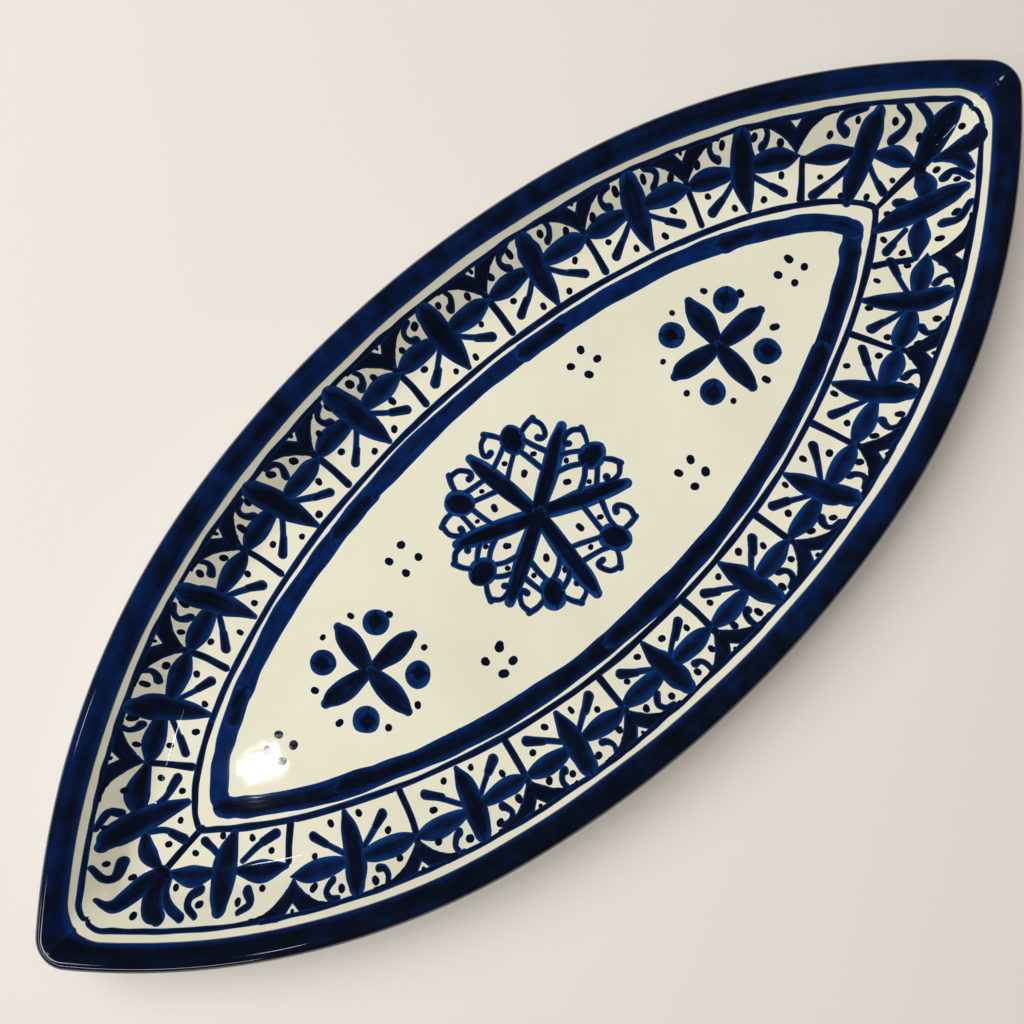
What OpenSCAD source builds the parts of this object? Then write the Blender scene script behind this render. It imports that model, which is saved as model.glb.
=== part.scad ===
// Long pointed serving plate: white-glazed earthenware with a cobalt painted border and field.
// +X runs to one tip, +Y to the far side, +Z up. The origin is on the table under the centre.
// The clay, the glaze coats and the brush strokes are layers that touch and don't overlap.

/* [Outline] */
// Half of the plate's width at the middle
half_width = 84; // [82:0.5:86]
// Radius of the long curve at the middle of each side
side_r = 350; // [348:1:352]
// Size of the 9-40-41 triangle between the centres of the long curve and the tighter one
join_k = 2.7; // [2.65:0.01:2.75]

/* [Section] */
// Height of the rim above the table
height = 26; // [25:0.5:30]
// Height of the dish's floor above the table
floor_z = 9; // [8:0.5:10]
// Slope of the wall above the horizontal
wall_slope = 43; // [40:1:46]
// Radius of the rounded lip
lip_r = 3; // [2.5:0.25:3.5]
// Radius of the hollow bend from wall to floor
bend_r = 10; // [8:0.5:12]
// Radius of the round heel under the wall
heel_r = 6; // [4:0.5:7]
// Height of the foot ring
foot_h = 3.5; // [2.5:0.25:4]
// Inset of the foot ring's outer face from the outline
foot_inset = 24; // [23:0.5:26]
// Width of the foot ring
foot_w = 6; // [4:0.5:8]
// Thickness of the white glaze
glaze_t = 0.5; // [0.3:0.1:0.8]
// Thickness of the cobalt painting
paint_t = 0.2; // [0.1:0.05:0.3]

/* [Bands and lines] */
// Inset to which the rim band comes down inside
rim_band_in = 8.4; // [7.5:0.1:9]
// Inset to which the rim band comes down outside
rim_band_out = 3; // [2:0.1:4]
// Inset of the thin line on the wall
outer_line_in = 10; // [9.6:0.1:10.4]
// Width of the two thin lines
line_w = 1.7; // [1:0.1:2.2]
// How far off the long axis the field and its lines sit
field_shift = -1.5; // [-2:0.1:0]
// Half length of the thin line round the field
inner_line_a = 147.2; // [146:0.1:148]
// Half width of the thin line round the field
inner_line_b = 50.5; // [50:0.1:51]
// Half length of the broad band round the field
field_band_a = 140.4; // [138:0.1:142]
// Half width of the broad band round the field
field_band_b = 47.3; // [46.5:0.1:47.6]
// Half length of the white field
field_a = 132.4; // [130:0.1:134]
// Half width of the white field
field_b = 40.8; // [40:0.1:42]
// Fullness of the field's far side: 1 is a plain bow, less is flatter with blunter tips
far_fullness = 0.67; // [0.64:0.01:0.8]
// Fullness of the field's near side
near_fullness = 0.87; // [0.8:0.01:1]

/* [Border panels] */
// Place of the first leaf on the far side, along the outline from the middle
far_start = -183.6; // [-184.6:0.1:-182.6]
// Step from leaf to leaf on the far side
far_step = 40.1; // [39.8:0.1:40.6]
// Place of the first leaf on the near side
near_start = -170; // [-171:0.5:-169]
// Step from leaf to leaf on the near side
near_step = 39; // [38.7:0.1:39.3]
// How much longer the first two steps on the near side are
near_wide = 5; // [4.5:0.1:5.5]
// How much shorter the last two steps on the near side are
near_squeeze = 4.5; // [4:0.1:5]
// Inset of the knots where neighbouring leaves meet
knot_in = 20.5; // [20:0.1:21]
// Length of the leaf across the border
leaf_l = 21; // [19:0.5:21]
// Width of the leaf across the border
leaf_w = 7.5; // [6:0.5:8]
// Width of the leaves along the border
side_leaf_w = 5.4; // [4:0.2:6]
// Width of a fine brush line
fine_w = 1.1; // [0.8:0.1:1.3]
// Radius of a border dot
dot_r = 1; // [0.8:0.1:1.1]

/* [Field motifs] */
// Length of a medallion spoke
spoke_l = 30.5; // [28:0.5:32]
// Width of a medallion spoke
spoke_w = 5.4; // [4:0.2:6]
// Distance of the medallion's buds from its centre
bud_at = 26; // [25:0.5:27]
// Place of the right rosette along the plate
rosette_right_x = 78.6; // [76:0.2:80]
// Place of the left rosette along the plate
rosette_left_x = -73.3; // [-76:0.1:-72]
// Length of a rosette petal
petal_l = 19; // [17:0.5:20]
// Width of a rosette petal
petal_w = 7.4; // [6:0.2:8]
// Radius of a dot in a cluster of four
cluster_dot_r = 1.5; // [1.2:0.1:1.8]
// Half of the spacing of the dots in a cluster
cluster_half = 3.1; // [2.6:0.1:3.6]

/* [Hidden] */
panels = 10;
cobalt = [0.06, 0.12, 0.42];
navy = [0.03, 0.05, 0.2];
white = [0.93, 0.91, 0.83];
curve_fn = 360;
small_fn = 32;
bow_steps = 24;
clay_in = paint_t + glaze_t;
reach = half_width + 6;
lift = 60;
fit_gap = 0.05;

// The outline's arcs meet on lines whose direction is a whole-number triangle, so their ends match exactly
join_dir = [9, 40, 41];
tip_dir = [21, 20, 29];
side_cy = half_width - side_r;
shoulder_r = side_r - join_dir[2] * join_k;
shoulder_cx = join_dir[0] * join_k;
shoulder_cy = side_cy + join_dir[1] * join_k;
tip_k = -shoulder_cy / tip_dir[1];
tip_cx = shoulder_cx + tip_dir[0] * tip_k;
tip_r = shoulder_r - tip_dir[2] * tip_k;
join_angle = atan2(join_dir[0], join_dir[1]);
side_s = side_r * join_angle * PI / 180;
join_x = -side_cy * join_dir[0] / join_dir[1];
far_join = [join_x + 5 * join_dir[0], 5 * join_dir[1]];
far_tip = [tip_cx + 5 * tip_dir[0], 5 * tip_dir[1]];

// Heights and insets of the section's lip, wall, bend and heel
lean = 90 - wall_slope;
lip_z = height - lip_r;
wall_x = lip_r * (1 + cos(lean));
wall_z = lip_z + lip_r * sin(lean);
bend_z = floor_z + bend_r;
bend_x = wall_x + (wall_z - bend_z + bend_r * sin(lean)) / tan(wall_slope) + bend_r * cos(lean);
outer_x = lip_r * (1 - cos(lean));
outer_z = lip_z - lip_r * sin(lean);
heel_z = foot_h + heel_r;
heel_x = outer_x + (outer_z - heel_z + heel_r * sin(lean)) / tan(wall_slope) + heel_r * cos(lean);

// A section is a list of [inset, height] points; depth is how far they lie under the painted surface
function arc(x, z, r, from, to, n) =
    [for (i = [0:n]) let (a = from + (to - from) * i / n) [x + r * cos(a), z + r * sin(a)]];
function lip(depth) = arc(lip_r, lip_z, lip_r - depth, 180 + lean, lean, 8);
function bend(depth) = arc(bend_x, bend_z, bend_r + depth, 180 + lean, 270, 4);
function heel(depth) = arc(heel_x, heel_z, heel_r - depth, 180 + lean, 270, 3);
function wall(inset, depth) =
    [inset - depth * cos(lean), wall_z - (inset - wall_x) * tan(wall_slope) - depth * sin(lean)];
function outer_wall(inset, depth) =
    [inset + depth * cos(lean), outer_z - (inset - outer_x) * tan(wall_slope) + depth * sin(lean)];
function floor_end(depth) = [[reach, floor_z - depth]];
function back(points) = [for (i = [len(points) - 1:-1:0]) points[i]];
function inside(depth) = concat(lip(depth), bend(depth), floor_end(depth));
function border(inset, depth) = concat([wall(inset, depth)], bend(depth), floor_end(depth));
function rim(depth) = concat([outer_wall(rim_band_out, depth)], lip(depth), [wall(rim_band_in, depth)]);
function wall_line(depth) = [wall(outer_line_in, depth), wall(outer_line_in + line_w, depth)];
function outside(depth) = concat([lip(depth)[0]], heel(depth), [[foot_inset, foot_h + depth]]);

// Sweeps of a section round the outline
module turned(centre, r) {
    translate(centre) rotate_extrude($fn = curve_fn) translate([r, 0]) mirror([1, 0]) children();
}
module kept(points) {
    translate([0, 0, -1]) linear_extrude(lift) polygon(points);
}
module side_piece() {
    intersection() {
        turned([0, side_cy, 0], side_r) children();
        kept([[-join_x, 0], [join_x, 0], far_join, [-far_join[0], far_join[1]]]);
    }
}
module shoulder_piece() {
    intersection() {
        turned([shoulder_cx, shoulder_cy, 0], shoulder_r) children();
        kept([[join_x, 0], [tip_cx, 0], far_tip, [far_tip[0], far_join[1]], far_join]);
    }
}
module tip_piece() {
    intersection() {
        translate([tip_cx, 0, 0]) rotate_extrude($fn = curve_fn) intersection() {
            translate([tip_r, 0]) mirror([1, 0]) children();
            translate([0, -1]) square([2 * tip_r, lift]);
        }
        kept([[tip_cx, 0], [far_tip[0], -far_tip[1]], far_tip]);
    }
}
module far_half() {
    side_piece() children();
    for (m = [0, 1]) mirror([m, 0, 0]) shoulder_piece() children();
}
module both_halves() {
    for (m = [0, 1]) mirror([0, m, 0]) far_half() children();
}
module whole_outline() {
    both_halves() children();
    for (m = [0, 1]) mirror([m, 0, 0]) tip_piece() children();
}
module coat(top, under) {
    polygon(concat(top, back(under)));
}

// Flat shapes
module almond(a, b) {
    r = (a * a + b * b) / (2 * b);
    intersection() {
        translate([0, r - b]) circle(r, $fn = curve_fn);
        translate([0, b - r]) circle(r, $fn = curve_fn);
    }
}
function bow(a, b, fullness) =
    [for (i = [-bow_steps:bow_steps]) let (t = 90 * i / bow_steps) [a * sin(t), b * pow(cos(t), 2 * fullness)]];
module boat(a, b) {
    far = bow(a, b, far_fullness);
    near = bow(a, -b, near_fullness);
    polygon(concat(far, [for (i = [len(near) - 2:-1:1]) near[i]]));
}
module leaf(l, w) {
    translate([l / 2, 0]) almond(l / 2, w / 2);
}
module spot(r) {
    circle(r, $fn = small_fn);
}
module hoop(r, w) {
    difference() {
        circle(r + w / 2, $fn = small_fn * 2);
        circle(r - w / 2, $fn = small_fn * 2);
    }
}
module on_field(shift = field_shift) {
    translate([0, shift, floor_z - paint_t]) linear_extrude(paint_t) children();
}

// The body
module clay_body() {
    color("tan") whole_outline()
        polygon(concat(inside(clay_in), [[reach, foot_h + clay_in]], back(heel(clay_in))));
}
module foot_ring() {
    color("peru") both_halves() translate([foot_inset, 0]) square([foot_w, foot_h + clay_in]);
}
module glaze_inside() {
    color(white) whole_outline() coat(inside(paint_t), inside(clay_in));
}
module glaze_outside() {
    color(white) whole_outline() coat(outside(paint_t), outside(clay_in));
}
module glaze_under_floor() {
    color(white) both_halves()
        translate([foot_inset + foot_w, foot_h + paint_t]) square([reach - foot_inset - foot_w, glaze_t]);
}

// Bands and lines
module rim_band() {
    color(navy) whole_outline() coat(rim(0), rim(paint_t));
}
module outer_line() {
    color(cobalt) both_halves() coat(wall_line(0), wall_line(paint_t));
}
module inner_line() {
    color(cobalt) on_field() difference() {
        boat(inner_line_a, inner_line_b);
        boat(inner_line_a - 1.5 * line_w, inner_line_b - line_w);
    }
}
module field_band() {
    color(navy) on_field() difference() {
        boat(field_band_a, field_band_b);
        boat(field_a, field_b);
    }
}

// A border panel, drawn about its leaf: x along the border, y outwards, the outline at y = 0
module at_outline(s) {
    past = max(0, abs(s) - side_s);
    a = sign(s) * (min(abs(s), side_s) / side_r + past / shoulder_r) * 180 / PI;
    centre = past > 0 ? [sign(s) * shoulder_cx, shoulder_cy] : [0, side_cy];
    translate(centre) rotate(-a) translate([0, past > 0 ? shoulder_r : side_r]) children();
}
module club(l, w) {
    leaf(l, w);
    translate([l - w, 0]) spot(w / 2);
}
module comma(r) {
    intersection() {
        hoop(r, fine_w);
        translate([0, -2 * r]) square([2 * r, 4 * r]);
    }
    translate([0, -r]) spot(fine_w);
}
module panel_strokes(half) {
    top = outer_line_in + line_w;
    rise = knot_in - top;
    arc_r = (half * half + rise * rise) / (2 * rise);
    over = 0.5;
    translate([0, over - top]) rotate(-90) leaf(leaf_l, leaf_w);
    difference() {
        translate([-half, -knot_in]) square([2 * half, rise + over]);
        translate([0, -top - over - arc_r]) circle(arc_r, $fn = curve_fn);
        for (m = [-1, 1]) translate([m * half, over - top]) rotate(45) square(3, center = true);
    }
    translate([half - fine_w, -knot_in - 15]) square([fine_w + over, 15]);
    for (m = [0, 1]) mirror([m, 0]) {
        translate([-over, -knot_in]) leaf(half + 2 * over, side_leaf_w);
        translate([2.5, -knot_in - 1]) rotate(-38) club(11, 2.2);
        translate([7.2, -knot_in + 4.6]) comma(1.8);
        for (p = [[11.4, 3.8], [4.9, 6.6], [5.8, -10.6], [14.2, -6]])
            translate([p[0], p[1] - knot_in]) spot(dot_r);
    }
}
module tip_zone() {
    polygon([
        [inner_line_a - 4, 0], [164, 2.4], [169, 2], [178, 10], [200, 10],
        [200, -10], [178, -10], [169, -2], [164, -2.4]
    ]);
}
module border_panel(s, half, near) {
    r = abs(s) > side_s ? shoulder_r : side_r;
    deep = 40;
    color(cobalt) mirror([0, near ? 1 : 0, 0]) intersection() {
        linear_extrude(lift) difference() {
            at_outline(s) intersection() {
                panel_strokes(half * (r - knot_in) / r);
                polygon([
                    [fit_gap - half, 0], [half - fit_gap, 0],
                    [(half - fit_gap) * (r - deep) / r, -deep], [(fit_gap - half) * (r - deep) / r, -deep]
                ]);
            }
            mirror([0, near ? 1 : 0]) translate([0, field_shift]) boat(inner_line_a, inner_line_b);
            for (m = [0, 1]) mirror([m, 0]) tip_zone();
        }
        far_half() coat(border(outer_line_in + line_w, 0), border(outer_line_in + line_w, paint_t));
    }
}
function near_place(k) =
    near_start + (k - 1) * near_step + min(k - 1, 2) * near_wide - max(k - 8, 0) * near_squeeze;
function near_half(k) = min(near_place(k) - near_place(k - 1), near_place(k + 1) - near_place(k)) / 2;
module border_far(k) {
    border_panel(far_start + (k - 1) * far_step, far_step / 2, false);
}
module border_near(k) {
    border_panel(near_place(k), near_half(k), true);
}
module tip_motif() {
    color(navy) intersection() {
        linear_extrude(lift) difference() {
            union() {
                translate([inner_line_a - 2, -fine_w / 2]) square([17, fine_w]);
                translate([165, 0]) spot(2.2);
                difference() {
                    polygon([[168, 0], [178, 8], [188, 0], [178, -8]]);
                    for (y = [-2.4, 2.4]) translate([178, y]) rotate(sign(y) * 14) square([9, 1.3], center = true);
                }
            }
            translate([0, field_shift]) boat(inner_line_a, inner_line_b);
        }
        both_halves() coat(border(outer_line_in + line_w, 0), border(outer_line_in + line_w, paint_t));
    }
}

// Medallion, rosettes and dots
module each_sector() {
    for (k = [0:5]) rotate(30 + 60 * k) children();
}
module spokes() {
    spot(spoke_w / 3);
    for (k = [0:5]) rotate(33 + 60 * k) leaf(spoke_l, spoke_w);
}
module buds() {
    for (k = [0:5]) rotate(3 + 60 * k) translate([bud_at, 0]) almond(4.4, 3.5);
}
module tracery() {
    for (k = [0:5]) rotate(3 + 60 * k) for (m = [0, 1]) mirror([0, m]) {
        translate([bud_at - 4, 0]) rotate(148) translate([0, -fine_w / 2]) square([13, fine_w]);
        translate([bud_at - 1, 3]) rotate(128) translate([0, -fine_w / 2]) square([12, fine_w]);
        translate([bud_at - 1, 7.4]) rotate(-35) comma(3);
    }
}
module medallion_spokes() {
    color(navy) on_field(0) spokes();
}
module medallion_buds() {
    color(navy) on_field(0) buds();
}
module medallion_tracery() {
    color(cobalt) on_field(0) difference() {
        tracery();
        spokes();
        buds();
    }
}
module medallion_dots() {
    color(navy) on_field(0) for (k = [0:5]) rotate(3 + 60 * k) {
        translate([14, 0]) spot(dot_r);
        for (m = [-1, 1]) translate([19.5, m * 5]) spot(dot_r);
    }
}
module rosette(x) {
    color(navy) on_field(0) translate([x, 0]) {
        spot(petal_w / 3);
        for (k = [0:3]) rotate(90 * k) leaf(petal_l, petal_w);
        for (k = [0:3]) rotate(45 + 90 * k) translate([15, 0]) almond(4.4, 3.8);
        for (k = [0:7]) rotate(22.5 + 45 * k) translate([18.4, 0]) spot(dot_r);
    }
}
module dot_cluster(x, y) {
    color(navy) on_field(0) translate([x, y]) rotate(8)
        for (i = [-1, 1], j = [-1, 1]) translate([i, j] * cluster_half) spot(cluster_dot_r);
}
cluster_places = [[43.5, 25.5], [44, -24.5], [-42, 18], [-40.5, -26.5], [112.5, 2], [-110.5, 0]];

clay_body();
foot_ring();
glaze_inside();
glaze_outside();
glaze_under_floor();
rim_band();
outer_line();
inner_line();
field_band();
for (k = [1:panels]) border_far(k);
for (k = [1:panels]) border_near(k);
mirror([1, 0, 0]) tip_motif();  // tip_motif_left
tip_motif();  // tip_motif_right
medallion_spokes();
medallion_buds();
medallion_tracery();
medallion_dots();
rosette(rosette_left_x);  // rosette_left
rosette(rosette_right_x);  // rosette_right
for (k = [1:6]) dot_cluster(cluster_places[k - 1][0], cluster_places[k - 1][1]);
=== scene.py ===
# %% [markdown]
# # A long pointed serving plate with a cobalt painting
# The plate is red-brown earthenware. It was pressed into a pointed boat shape, dipped in a milky tin glaze
# and painted with cobalt before its last firing. The body, the glaze and every brush mark are separate layers.
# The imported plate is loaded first. Its box gives the driving sizes, so nothing has to be fitted afterwards.

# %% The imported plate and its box
import math

import bmesh
import bpy
import numpy as np
from mathutils import Matrix, Vector


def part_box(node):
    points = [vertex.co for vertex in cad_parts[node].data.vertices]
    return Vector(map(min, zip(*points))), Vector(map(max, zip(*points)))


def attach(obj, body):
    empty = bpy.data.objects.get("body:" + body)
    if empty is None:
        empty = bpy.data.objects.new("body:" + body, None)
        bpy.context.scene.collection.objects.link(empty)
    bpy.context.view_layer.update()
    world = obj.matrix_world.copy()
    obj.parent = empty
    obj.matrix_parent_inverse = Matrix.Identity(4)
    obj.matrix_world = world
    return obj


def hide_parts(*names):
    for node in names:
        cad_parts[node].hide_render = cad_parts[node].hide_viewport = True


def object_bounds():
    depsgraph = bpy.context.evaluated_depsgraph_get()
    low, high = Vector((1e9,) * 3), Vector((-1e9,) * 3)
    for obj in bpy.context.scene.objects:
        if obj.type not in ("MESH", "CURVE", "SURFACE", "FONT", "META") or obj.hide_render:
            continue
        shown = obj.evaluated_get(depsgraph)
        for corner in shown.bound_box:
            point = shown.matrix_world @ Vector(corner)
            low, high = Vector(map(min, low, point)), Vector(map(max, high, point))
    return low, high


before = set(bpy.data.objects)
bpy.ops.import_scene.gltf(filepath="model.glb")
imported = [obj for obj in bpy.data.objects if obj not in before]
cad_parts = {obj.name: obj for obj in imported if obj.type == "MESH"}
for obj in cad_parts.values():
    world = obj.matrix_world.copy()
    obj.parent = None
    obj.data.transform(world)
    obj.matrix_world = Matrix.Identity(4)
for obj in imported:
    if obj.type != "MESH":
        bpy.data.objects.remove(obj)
cad_low, cad_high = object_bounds()
mm = 0.001
print("box in mm", [round(v / mm, 1) for v in (*cad_low, *cad_high)])

# %% [markdown]
# ## The rule of the outline
# A potter would cut this outline with two long bows: a flat bow along each side that runs into a tighter one
# near the tips, and a small round at each point. All levels of the plate follow the same bows, set in by an
# amount that is called the inset here. So one rule gives the rim, the wall, the floor and the foot.

# %% The bows of the outline
half_width = cad_high.y
side_r = 350 * mm
side_cy = half_width - side_r
# Two right triangles with whole sides, 9-40-41 and 20-21-29, place the joins, so that the bows meet exactly.
join_run, join_rise, join_long = 9, 40, 41
tip_rise, tip_run, tip_long = 20, 21, 29
join_step = 2.7 * mm
shoulder_r = side_r - join_long * join_step
shoulder_cx = join_run * join_step
shoulder_cy = side_cy + join_rise * join_step
join_angle = math.atan2(join_run, join_rise)
tip_angle = math.atan2(tip_run, tip_rise)
tip_r = shoulder_r + shoulder_cy * tip_long / tip_rise
tip_cx = shoulder_cx - shoulder_cy * tip_run / tip_rise
side_s = side_r * join_angle
print("half length by the rule", round((tip_cx + tip_r) / mm, 1), "and in the box", round(cad_high.x / mm, 1))

# %% [markdown]
# ## Writing sums as nodes
# The bending is done by Geometry Nodes, and its sums are long. This small class turns + - * / and a few
# named functions into Math nodes, so that the rule reads in the script as it would on paper.


# %% A number that builds nodes
class Num:
    def __init__(self, tree, socket):
        self.tree = tree
        self.socket = socket

    def op(self, name, *others):
        node = self.tree.nodes.new("ShaderNodeMath")
        node.operation = name
        for slot, value in zip(node.inputs, (self, *others)):
            put(self.tree, slot, value)
        return Num(self.tree, node.outputs[0])

    def __add__(self, other):
        return self.op("ADD", other)

    def __sub__(self, other):
        return self.op("SUBTRACT", other)

    def __mul__(self, other):
        return self.op("MULTIPLY", other)

    def __truediv__(self, other):
        return self.op("DIVIDE", other)

    def clamp(self, low, high):
        return self.op("MAXIMUM", low).op("MINIMUM", high)


def put(tree, slot, value):
    if isinstance(value, Num):
        value = value.socket
    if isinstance(value, bpy.types.NodeSocket):
        tree.links.new(value, slot)
    else:
        slot.default_value = value


def add(tree, kind, **slots):
    """Adds a node, sets or links its inputs by name, and returns it."""
    node = tree.nodes.new(kind)
    for name, value in slots.items():
        put(tree, node.inputs[name.replace("_", " ")], value)
    return node


def vector(tree, x, y, z):
    return add(tree, "ShaderNodeCombineXYZ", X=x, Y=y, Z=z).outputs[0]


def parts(tree, socket):
    return [Num(tree, s) for s in add(tree, "ShaderNodeSeparateXYZ", Vector=socket).outputs]


# %% [markdown]
# ## Starting and ending a tree
# Each tree takes a mesh, has named inputs for its sizes, and ends by realizing what it made, shading it
# smooth and giving it its material. The result is then turned into a plain mesh with no modifier left on it.


# %% A tree with named inputs
def new_tree(name, **sockets):
    tree = bpy.data.node_groups.new(name, "GeometryNodeTree")
    tree.interface.new_socket("Geometry", in_out="OUTPUT", socket_type="NodeSocketGeometry")
    tree.interface.new_socket("Geometry", in_out="INPUT", socket_type="NodeSocketGeometry")
    for label, kind in sockets.items():
        tree.interface.new_socket(label.replace("_", " "), in_out="INPUT", socket_type="NodeSocket" + kind)
    tree.interface.new_socket("Material", in_out="INPUT", socket_type="NodeSocketMaterial")
    return tree, tree.nodes.new("NodeGroupInput")


def end_tree(tree, start, geometry, merge=0.002 * mm):
    joined = add(tree, "GeometryNodeRealizeInstances", Geometry=geometry).outputs[0]
    joined = add(tree, "GeometryNodeMergeByDistance", Geometry=joined, Distance=merge).outputs[0]
    joined = add(tree, "GeometryNodeSetShadeSmooth", Geometry=joined).outputs[0]
    material = start.outputs["Material"]
    joined = add(tree, "GeometryNodeSetMaterial", Geometry=joined, Material=material).outputs[0]
    put(tree, tree.nodes.new("NodeGroupOutput").inputs[0], joined)


def run_tree(name, mesh, tree, **values):
    """Runs a tree on a mesh and returns a plain object of the result."""
    rough = bpy.data.objects.new(name + "_rough", mesh)
    bpy.context.scene.collection.objects.link(rough)
    modifier = rough.modifiers.new("shape", "NODES")
    modifier.node_group = tree
    for item in tree.interface.items_tree:
        label = item.name.replace(" ", "_")
        if item.in_out == "INPUT" and label in values:
            modifier[item.identifier] = values[label]
    depsgraph = bpy.context.evaluated_depsgraph_get()
    made = bpy.data.meshes.new_from_object(rough.evaluated_get(depsgraph), depsgraph=depsgraph)
    bpy.data.objects.remove(rough)
    piece = bpy.data.objects.new(name, made)
    bpy.context.scene.collection.objects.link(piece)
    print(name, len(made.polygons), "faces")
    return piece


# %% [markdown]
# ## Bending a strip round the plate
# A strip is drawn straight: its first coordinate says how far round a half it lies, with whole numbers where
# one bow runs into the next, its second is the inset, and its third the height. The tree bends it. Where two
# sides meet at a tip the walls would leave a knife-sharp valley, so the tree fills it a little, as a wet
# sponge does. It also lets the wall sag unevenly by parts of a millimetre, as hand-pressed clay does.


# %% The bending tree
def bending_tree():
    tree, start = new_tree("bend_round_plate", Valley="Float", Unevenness="Float")
    along, inset, height = parts(tree, add(tree, "GeometryNodeInputPosition").outputs[0])
    side = Num(tree, add(tree, "GeometryNodeInputNamedAttribute", Name="side").outputs[0])
    far = along.op("ABSOLUTE")
    level = inset.op("MINIMUM", flat_from)
    to_axis = ((inset - flat_from) / (half_width - flat_from)).clamp(0, 1)
    side_turn = far.clamp(0, 1) * join_angle
    deep = level.op("MAXIMUM", tip_r)
    deep_r = deep * -1 + shoulder_r
    last_turn = (deep_r.op("POWER", -1) * -shoulder_cy).op("ARCCOSINE")
    bow_turn = (last_turn - join_angle) * (far - 1).clamp(0, 1) + join_angle
    tip_turn = (far - 2).clamp(0, 1) * (math.pi / 2 - tip_angle) + tip_angle
    bow_r = level * -1 + shoulder_r
    tip_now = (level * -1 + tip_r).op("MAXIMUM", 0)
    corner = deep_r * last_turn.op("SINE") + shoulder_cx
    on_side = far.op("LESS_THAN", 1)
    on_tip = far.op("GREATER_THAN", 2)
    on_bow = (on_side + on_tip) * -1 + 1
    side_radius = level * -1 + side_r
    x = on_side * side_radius * side_turn.op("SINE")
    x = x + on_bow * (bow_r * bow_turn.op("SINE") + shoulder_cx)
    x = x + on_tip * (tip_now * tip_turn.op("SINE") + corner)
    y = on_side * (side_radius * side_turn.op("COSINE") + side_cy)
    y = y + on_bow * (bow_r * bow_turn.op("COSINE") + shoulder_cy)
    y = (y + on_tip * tip_now * tip_turn.op("COSINE")) * (to_axis * -1 + 1)
    across = ((x - shoulder_cx).op("POWER", 2) + (y - shoulder_cy).op("POWER", 2)).op("SQRT")
    other = ((x - shoulder_cx).op("POWER", 2) + (y + shoulder_cy).op("POWER", 2)).op("SQRT")
    valley = Num(tree, start.outputs["Valley"])
    near = (valley - (across - other).op("ABSOLUTE")).op("MAXIMUM", 0)
    fill = near * near / (valley * 4) * ((level - valley_start) / valley_start).clamp(0, 1)
    fill = fill * ((level * -1 + flat_from) / valley_fade).clamp(0, 1)
    noise_at = vector(tree, x * along.op("SIGN"), y * side, 0)
    lumps = add(tree, "ShaderNodeTexNoise", Vector=noise_at, Scale=24.0, Detail=1.0)
    sag = Num(tree, lumps.outputs[0]) * start.outputs["Unevenness"] * (height / cad_high.z).clamp(0, 1)
    place = vector(tree, x * along.op("SIGN"), y * side, height + fill - sag)
    moved = add(tree, "GeometryNodeSetPosition", Geometry=start.outputs[0], Position=place)
    end_tree(tree, start, moved.outputs[0])
    return tree


# %% [markdown]
# ## The section
# Cut across, the plate has a round lip, a straight sloping wall, a hollow bend to the floor, and outside a
# round heel over a low foot ring. Each layer is the same section taken deeper, by the thickness of what
# lies over it: the painting is 0.2 mm thick here and the glaze under it half a millimetre.

# %% Sizes of the section
height = cad_high.z
floor_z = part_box("field_band")[1].z
foot_inset = half_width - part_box("foot_ring")[1].y
foot_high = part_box("foot_ring")[1].z
foot_wide = 6 * mm
lean = math.radians(47)
slope = math.pi / 2 - lean
lip_r = 3 * mm
bend_r = 10 * mm
heel_r = 6 * mm
paint = 0.2 * mm
glaze = 0.5 * mm
foot_h = foot_high - paint - glaze
lip_z = height - lip_r
wall_x = lip_r * (1 + math.cos(lean))
wall_z = lip_z + lip_r * math.sin(lean)
bend_z = floor_z + bend_r
bend_x = wall_x + (wall_z - bend_z + bend_r * math.sin(lean)) / math.tan(slope) + bend_r * math.cos(lean)
outer_x = lip_r * (1 - math.cos(lean))
outer_z = lip_z - lip_r * math.sin(lean)
heel_z = foot_h + heel_r
heel_x = outer_x + (outer_z - heel_z + heel_r * math.sin(lean)) / math.tan(slope) + heel_r * math.cos(lean)
# The inset where the floor is flat, and how far in the filled valley of a tip starts and fades out.
flat_from = bend_x
valley_start = 6 * mm
valley_fade = 9 * mm
tuck = 0.1 * mm
bend_plate = bending_tree()


# %% The lip, the bend and the heel as rows of (inset, height)
def arc(x, z, radius, start, end, count):
    turns = np.linspace(start, end, count)
    return [(x + radius * math.cos(t), z + radius * math.sin(t)) for t in turns]


def straight(a, b, count):
    return [(a[0] + (b[0] - a[0]) * t, a[1] + (b[1] - a[1]) * t) for t in np.linspace(0, 1, count + 2)[1:-1]]


def inside(depth):
    """From the outer edge of the lip over the top, down the wall and along the floor to the long axis."""
    lip = arc(lip_r, lip_z, lip_r - depth, math.pi + lean, lean, 26)
    bend = arc(bend_x, bend_z, bend_r + depth, math.pi + lean, 1.5 * math.pi, 14)
    floor = [(x, floor_z - depth) for x in np.linspace(bend_x, half_width, 16)[1:]]
    return lip + straight(lip[-1], bend[0], 12) + bend + floor


def outside(depth):
    """From the outer edge of the lip down the outer wall and the heel to the foot ring."""
    top = arc(lip_r, lip_z, lip_r - depth, math.pi + lean, math.pi + lean, 1)
    heel = arc(heel_x, heel_z, heel_r - depth, math.pi + lean, 1.5 * math.pi, 14)
    foot = [(foot_inset + tuck, foot_h + depth)]
    return top + straight(top[0], heel[0], 14) + heel + foot


def under_floor(z, first):
    return [(x, z) for x in np.linspace(first, half_width, 12)]


print("wall from", round(wall_x / mm, 1), "to", round(bend_x / mm, 1), "mm in from the rim")

# %% [markdown]
# ## Making a strip
# The straight strip is a grid: one column for each place round the plate, one row for each point of the
# section. A section that closes on itself gives a ring. One that ends on the long axis at both ends is
# closed by its mirror image on the near half. The columns stand closer near the tips, where the bend is tight.

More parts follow.
